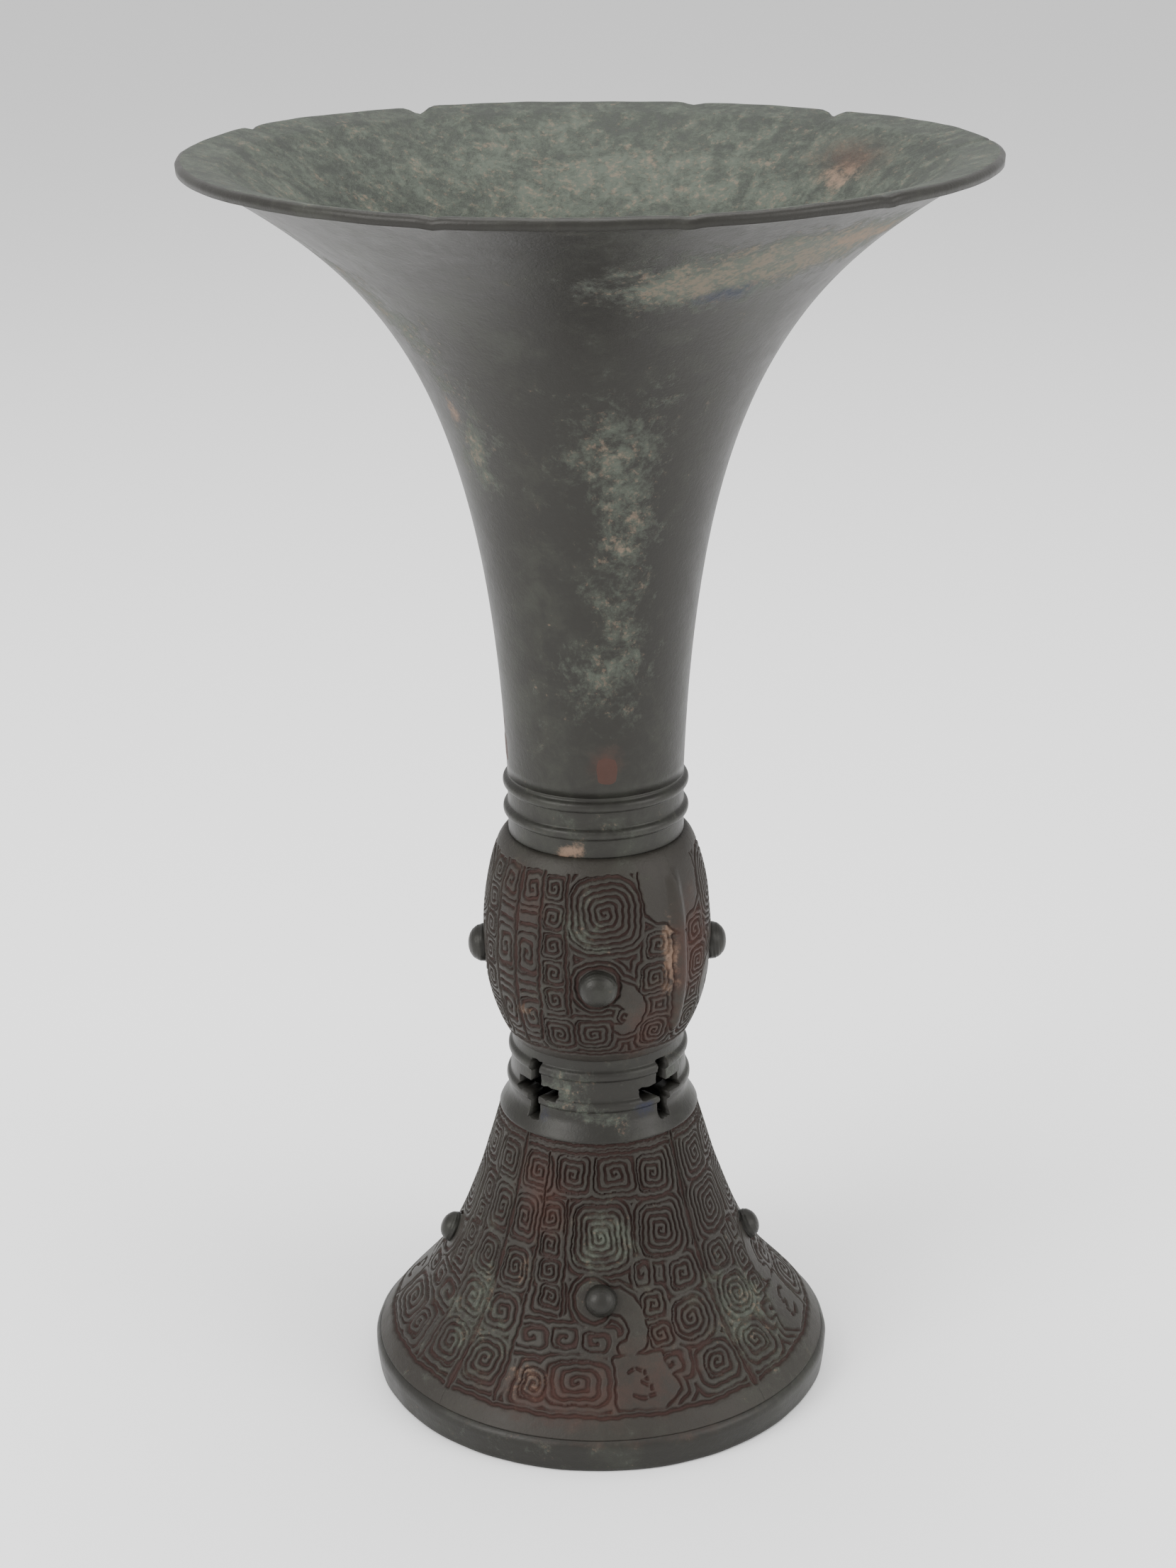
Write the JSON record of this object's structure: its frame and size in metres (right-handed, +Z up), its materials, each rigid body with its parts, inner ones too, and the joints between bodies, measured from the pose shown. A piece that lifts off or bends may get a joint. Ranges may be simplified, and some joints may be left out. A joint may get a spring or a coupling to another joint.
{
  "type": "ritual bronze gu vessel",
  "caption": "Ancient Chinese bronze wine vessel with a flared trumpet mouth, a bulging patterned middle, a pierced collar and a splayed patterned foot.",
  "frame": {"origin": "centre of the face that the vessel stands on", "axes": "+Z up along the vessel's axis, from the foot to the mouth; -Y towards the side that the picture shows"},
  "size_m": [0.1582, 0.1582, 0.265],
  "materials": {
    "plain_bronze": "smooth dark grey-brown patina with pale green patches",
    "figured_bronze": "matt patina, red-brown in the grooves and grey-green on the ridges",
    "spacer_bronze": "matt reddish brown patina"
  },
  "bodies": {
    "root": {"mouth_trumpet": "plain_bronze", "neck_collar": "plain_bronze", "bowl_floor": "plain_bronze", "pierced_collar": "plain_bronze", "base_band": "plain_bronze", "knop_eye_boss_1": "plain_bronze", "knop_eye_boss_2": "plain_bronze", "knop_eye_boss_3": "plain_bronze", "knop_eye_boss_4": "plain_bronze", "foot_eye_boss_1": "plain_bronze", "foot_eye_boss_2": "plain_bronze", "foot_eye_boss_3": "plain_bronze", "foot_eye_boss_4": "plain_bronze", "knop_shell": "figured_bronze", "foot_skirt": "figured_bronze", "nose_ridge_1": "figured_bronze", "nose_ridge_2": "figured_bronze", "core_spacer_1": "spacer_bronze", "core_spacer_2": "spacer_bronze", "core_spacer_3": "spacer_bronze", "core_spacer_4": "spacer_bronze"}
  },
  "joints": []
}
